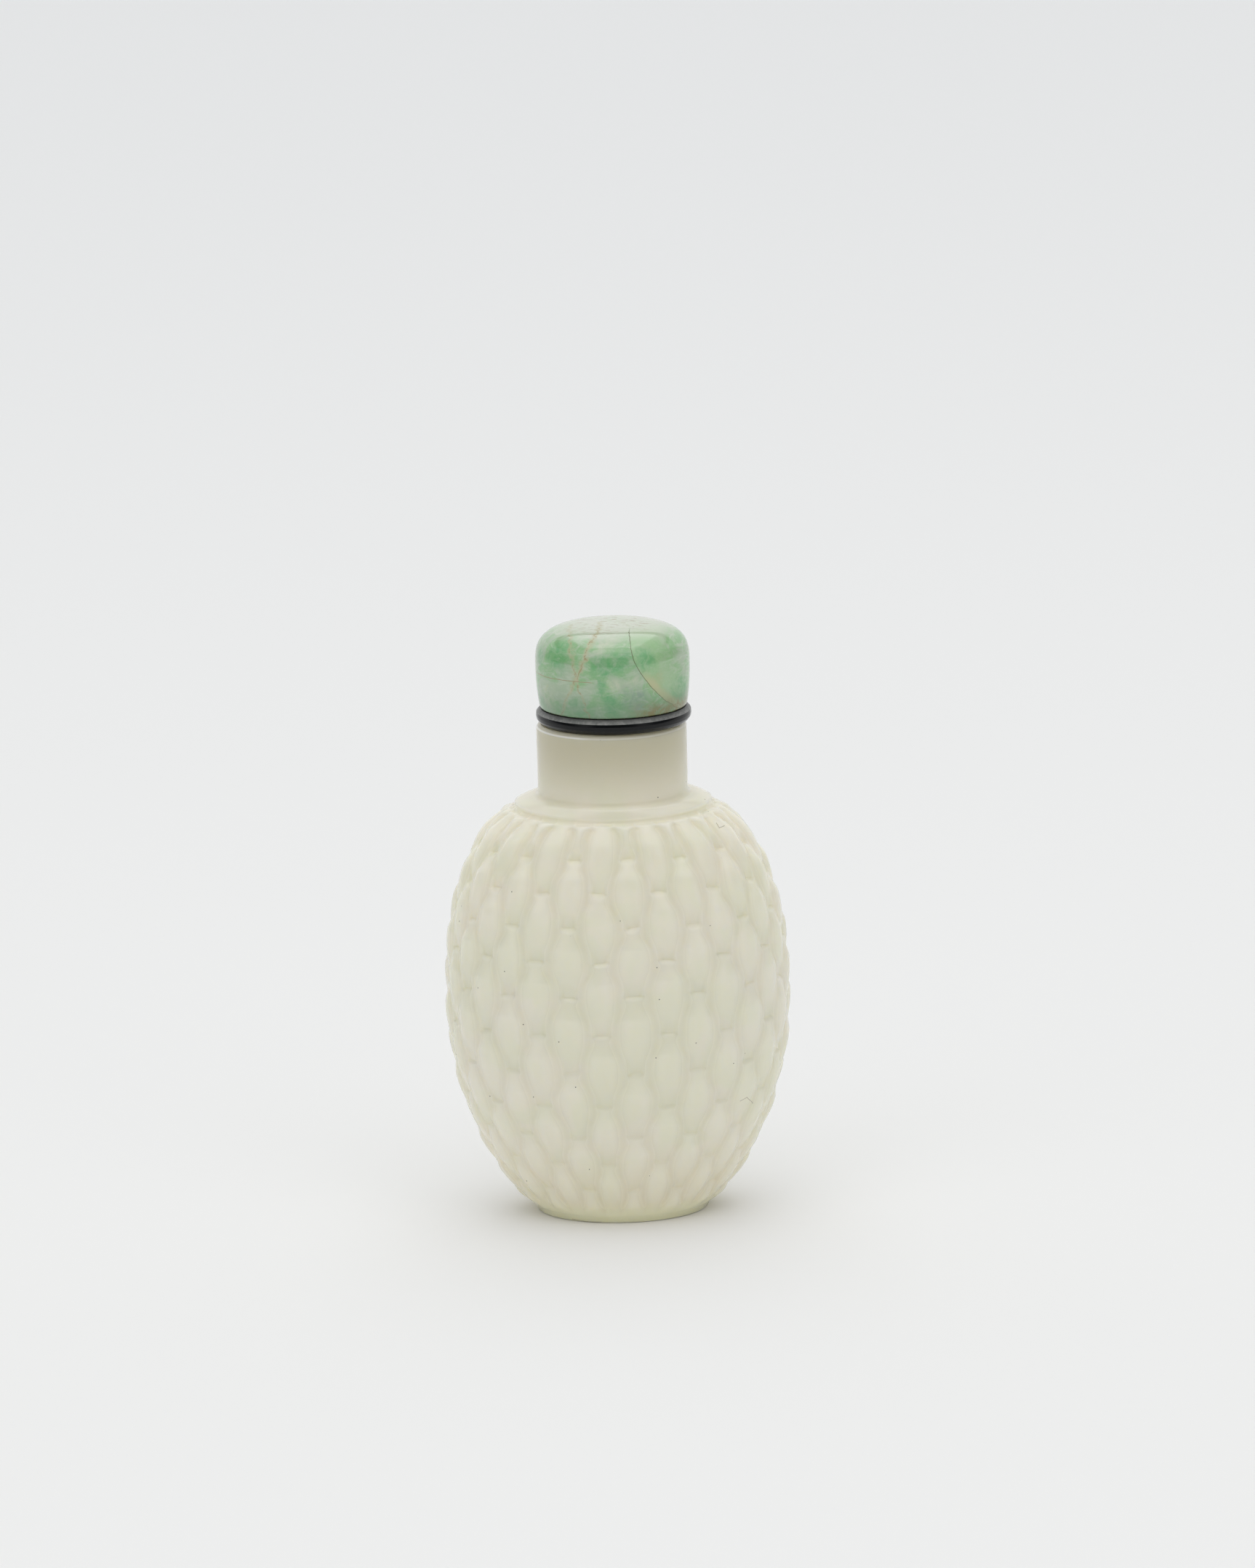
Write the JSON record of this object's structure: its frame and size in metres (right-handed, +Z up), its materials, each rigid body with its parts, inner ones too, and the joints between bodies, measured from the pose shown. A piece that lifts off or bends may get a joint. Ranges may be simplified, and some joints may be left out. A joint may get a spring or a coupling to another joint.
{
  "type": "snuff bottle",
  "caption": "Flattened oval stone snuff bottle carved with a basketweave, with a plain neck, a black collar and a domed green stopper; holds snuff.",
  "frame": {"origin": "middle of the flat underside, where the bottle stands", "axes": "+Z up along the neck, X across the broad faces, Y through the thin depth with the broad faces towards -Y and +Y"},
  "size_m": [0.04, 0.0256, 0.0693],
  "materials": {
    "pale_stone": "polished",
    "black_collar": "gloss",
    "green_stone": "polished"
  },
  "bodies": {
    "root": {"bottle_body": "pale_stone", "stopper_collar": "black_collar", "stopper_cap": "green_stone"}
  },
  "joints": []
}
